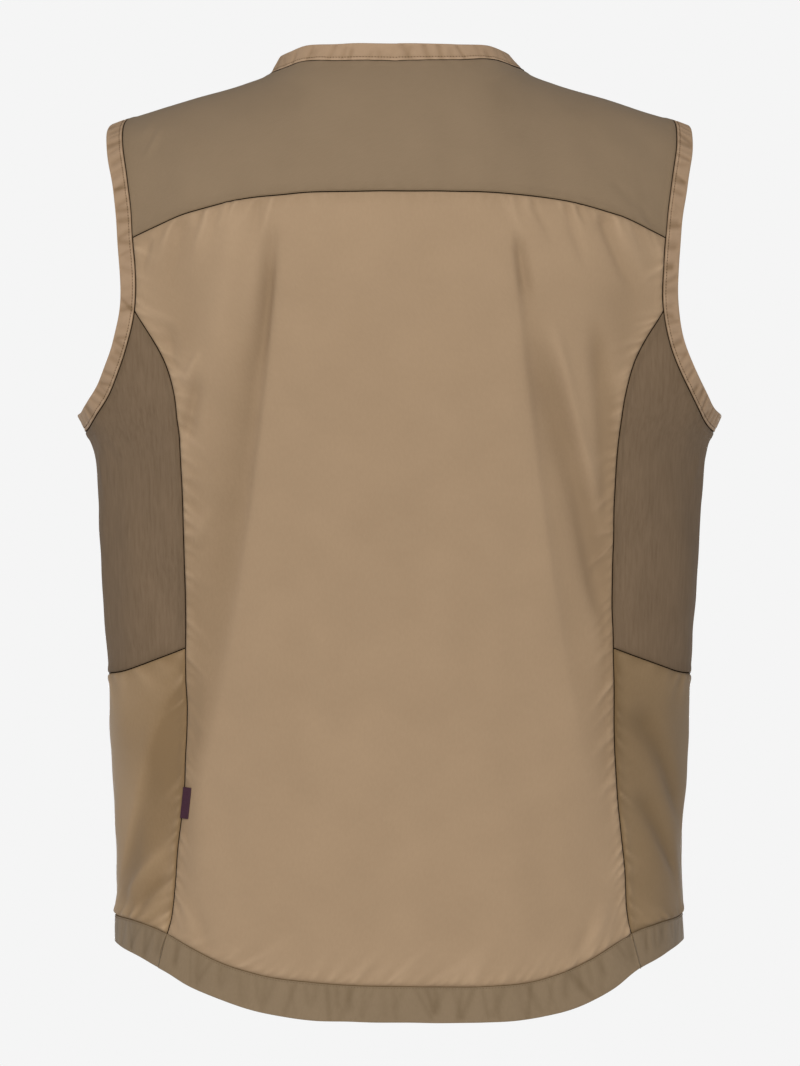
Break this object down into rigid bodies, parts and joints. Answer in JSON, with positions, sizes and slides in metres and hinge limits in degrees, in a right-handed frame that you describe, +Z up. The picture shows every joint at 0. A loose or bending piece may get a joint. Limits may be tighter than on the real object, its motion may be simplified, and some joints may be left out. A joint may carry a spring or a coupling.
{
  "type": "wind vest",
  "caption": "Sleeveless zipped wind vest, filled out as worn with nobody in it, with a yoke, dark stretch side panels, bound neck and armholes and a dropped back hem.",
  "frame": {"origin": "midline point between the two places where the shoulder lines meet the neck, where the wearer's shoulders and neck carry the vest", "axes": "+Z up along the wearer's height, -Y out of the vest's front, +X to the wearer's left"},
  "size_m": [0.4672, 0.2517, 0.7077],
  "materials": {
    "tan_cloth": "smooth light woven nylon with a soft sheen",
    "olive_cloth": "smooth light woven nylon, darker",
    "stretch_cloth": "matt stretch knit with a fine upright rib",
    "binding_cloth": "folded woven strip, stitched along its edge",
    "zip_tape": "woven polyester tape",
    "zip_coil": "polyester coil",
    "zip_metal": "dark painted cast metal",
    "purple_ribbon": "woven ribbon"
  },
  "bodies": {
    "vest": {"yoke": "olive_cloth", "back": "tan_cloth", "front_left": "tan_cloth", "front_right": "tan_cloth", "side_upper_left": "stretch_cloth", "side_upper_right": "stretch_cloth", "side_lower_left": "olive_cloth", "side_lower_right": "olive_cloth", "hem_back": "olive_cloth", "hem_side_left": "olive_cloth", "hem_side_right": "olive_cloth", "hem_front_left": "olive_cloth", "hem_front_right": "olive_cloth", "neck_binding": "binding_cloth", "armhole_binding_left": "binding_cloth", "armhole_binding_right": "binding_cloth", "zip_tape_left": "zip_tape", "zip_tape_right": "zip_tape", "zip_chain": "zip_coil", "zip_box": "zip_coil", "zip_slider": "zip_metal", "seam_tab": "purple_ribbon"},
    "pull_tab": {"zip_pull": "zip_metal"}
  },
  "joints": [
    {"name": "pull_swing", "type": "hinge", "parent": "vest", "child": "pull_tab", "pos_m": [0, -0.0982, -0.0594], "axis": [-1, 0, 0], "range_deg": [0, 170]}
  ]
}
